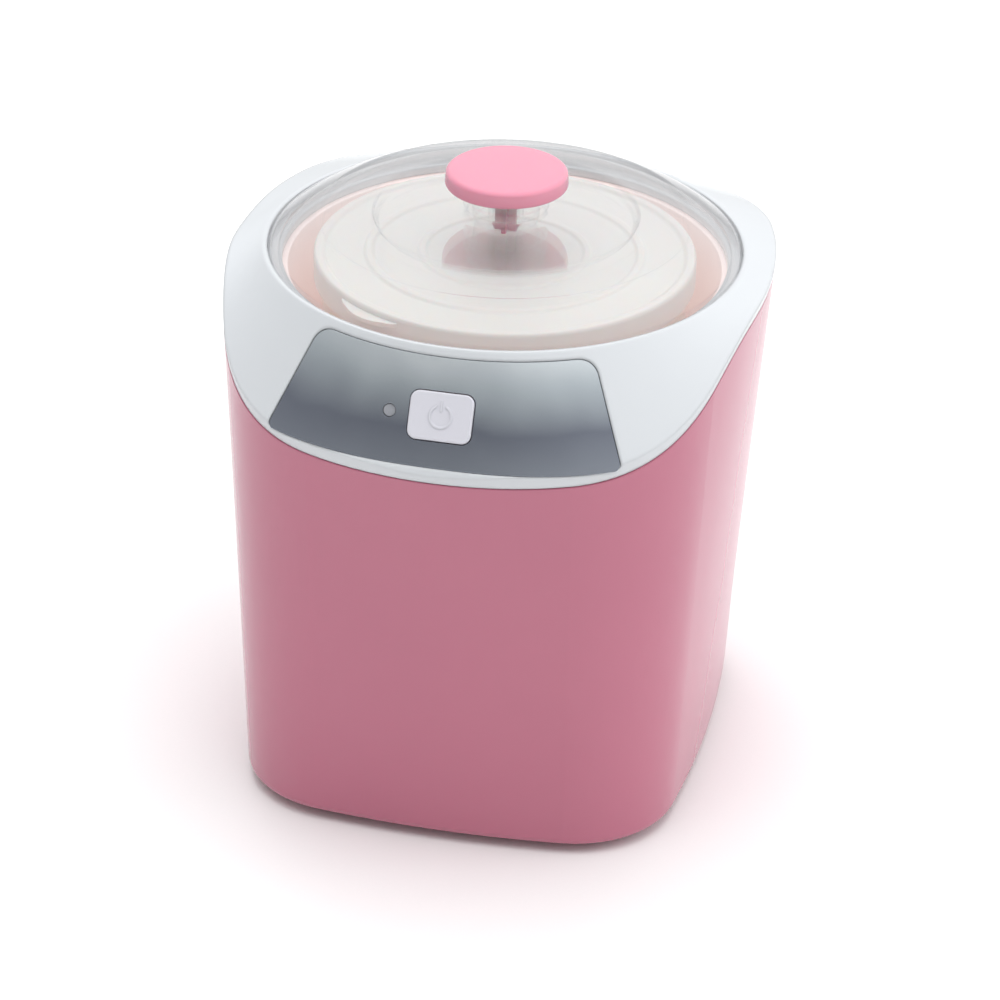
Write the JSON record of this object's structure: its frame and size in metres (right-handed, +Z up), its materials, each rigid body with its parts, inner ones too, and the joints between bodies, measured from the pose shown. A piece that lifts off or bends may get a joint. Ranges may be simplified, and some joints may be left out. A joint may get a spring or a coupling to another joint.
{
  "type": "yogurt maker",
  "caption": "Countertop yogurt maker: pink tub body, white sloped cover with power button, lidded inner container and clear knobbed lid.",
  "frame": {"origin": "on the floor, under the middle of the body's bounding box", "axes": "+Z up, -Y towards the front with the control panel, +X to the right seen from the front"},
  "size_m": [0.1702, 0.1823, 0.1974],
  "materials": {
    "pink_shell": "gloss pink moulding",
    "white_cover": "gloss white moulding",
    "panel_film": "mirror grey film",
    "button_white": "gloss white",
    "lens_clear": "clear plastic",
    "led_body": "clear resin",
    "board_green": "solder mask",
    "component_dark": "moulded",
    "screw_steel": "zinc plated",
    "plunger_white": "moulded",
    "well_pink": "pale pink moulding",
    "plate_aluminium": "satin",
    "heater_silicone": "silicone",
    "fuse_metal": "plated",
    "base_white": "fine texture",
    "foot_rubber": "grey rubber",
    "gland_rubber": "white rubber",
    "terminal_white": "moulded",
    "wire_red": "insulation",
    "container_milky": "translucent polypropylene",
    "lid_milky": "translucent polyethylene",
    "seal_silicone": "silicone",
    "lid_clear": "clear styrene acrylonitrile",
    "knob_pink": "gloss pink"
  },
  "bodies": {
    "base": {"outer_body": "pink_shell", "top_cover": "white_cover", "control_panel": "panel_film", "indicator_lens": "lens_clear", "indicator_led": "led_body", "control_board": "board_green", "board_components": "component_dark", "board_screws": "screw_steel", "push_switch": "component_dark", "well_liner": "well_pink", "well_screws": "screw_steel", "cover_screws": "screw_steel", "heating_plate": "plate_aluminium", "plate_screws": "screw_steel", "heater_ring": "heater_silicone", "thermostat": "component_dark", "thermal_fuse": "fuse_metal", "bottom_cover": "base_white", "feet": "foot_rubber", "base_screws": "screw_steel", "cord_gland": "gland_rubber", "terminal_block": "terminal_white", "wiring": "wire_red"},
    "container": {"inner_container": "container_milky"},
    "lid_inner": {"container_lid": "lid_milky", "container_seal": "seal_silicone"},
    "lid_outer": {"outer_lid": "lid_clear", "lid_knob": "knob_pink"},
    "button": {"power_button": "button_white", "switch_plunger": "plunger_white"}
  },
  "joints": [
    {"name": "container_lift", "type": "slide", "parent": "base", "child": "container", "axis": [0, 0, 1], "range_m": [0, 0.155]},
    {"name": "inner_lid_lift", "type": "slide", "parent": "container", "child": "lid_inner", "axis": [0, 0, 1], "range_m": [0, 0.06]},
    {"name": "outer_lid_lift", "type": "slide", "parent": "lid_inner", "child": "lid_outer", "axis": [0, 0, 1], "range_m": [0, 0.12]},
    {"name": "power_press", "type": "slide", "parent": "base", "child": "button", "axis": [0, 0.8854, -0.4648], "range_m": [0, 0.0006], "stiffness_N_per_m": 400}
  ]
}
